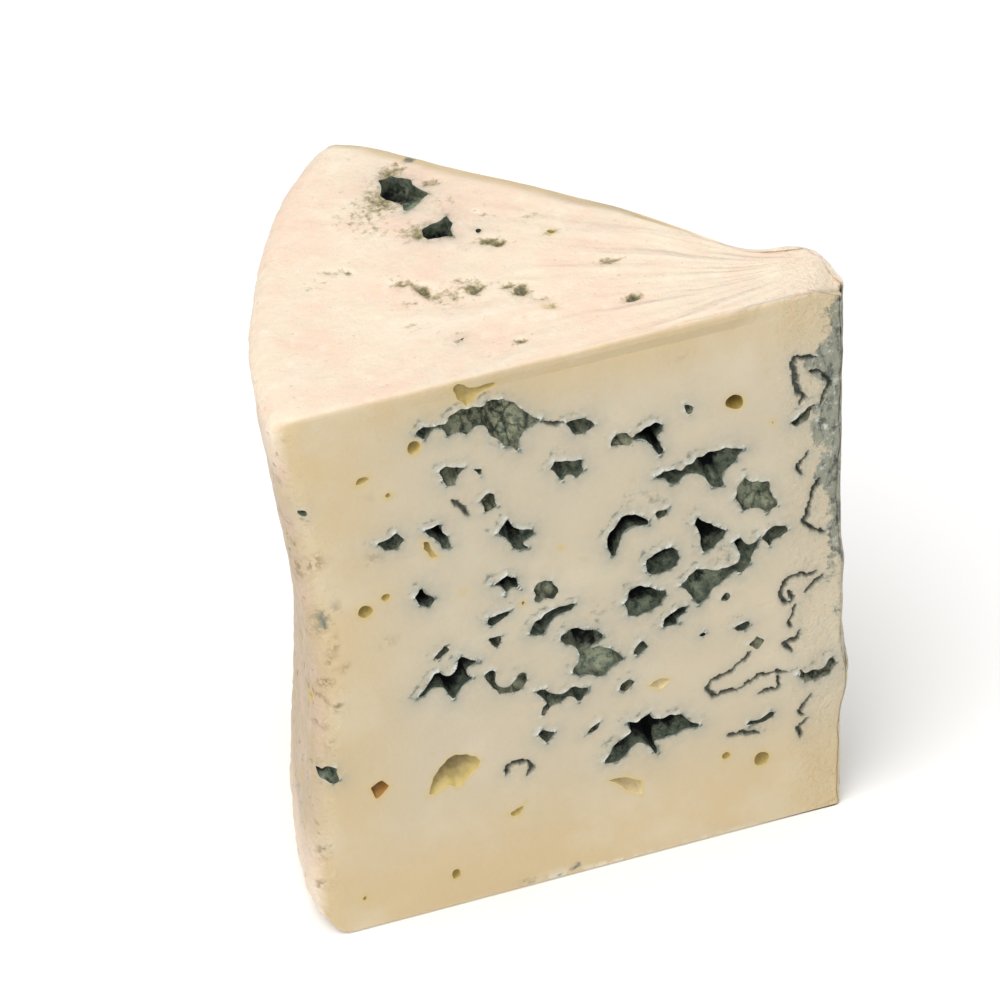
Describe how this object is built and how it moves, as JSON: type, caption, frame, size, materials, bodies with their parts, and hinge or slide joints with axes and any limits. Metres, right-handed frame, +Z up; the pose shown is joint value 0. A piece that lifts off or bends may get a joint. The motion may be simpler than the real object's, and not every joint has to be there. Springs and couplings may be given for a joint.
{
  "type": "blue cheese wedge",
  "caption": "Wedge of blue-veined cheese cut from a small drum-shaped wheel, with two flat cut faces, a natural rind side, a flat top and a flat base to stand on.",
  "frame": {"origin": "on the base plane, under the middle of the bounding box", "axes": "+Z up through the height of the wedge; the front cut face is parallel to the XZ plane and faces -Y; the tip points towards +X and the rind is at -X"},
  "size_m": [0.0936, 0.0676, 0.103],
  "materials": {
    "cheese_paste": "moist ivory cheese paste with blue-green mould in its openings and a thin pinkish cream rind"
  },
  "bodies": {
    "root": {"cheese_wedge": "cheese_paste"}
  },
  "joints": []
}
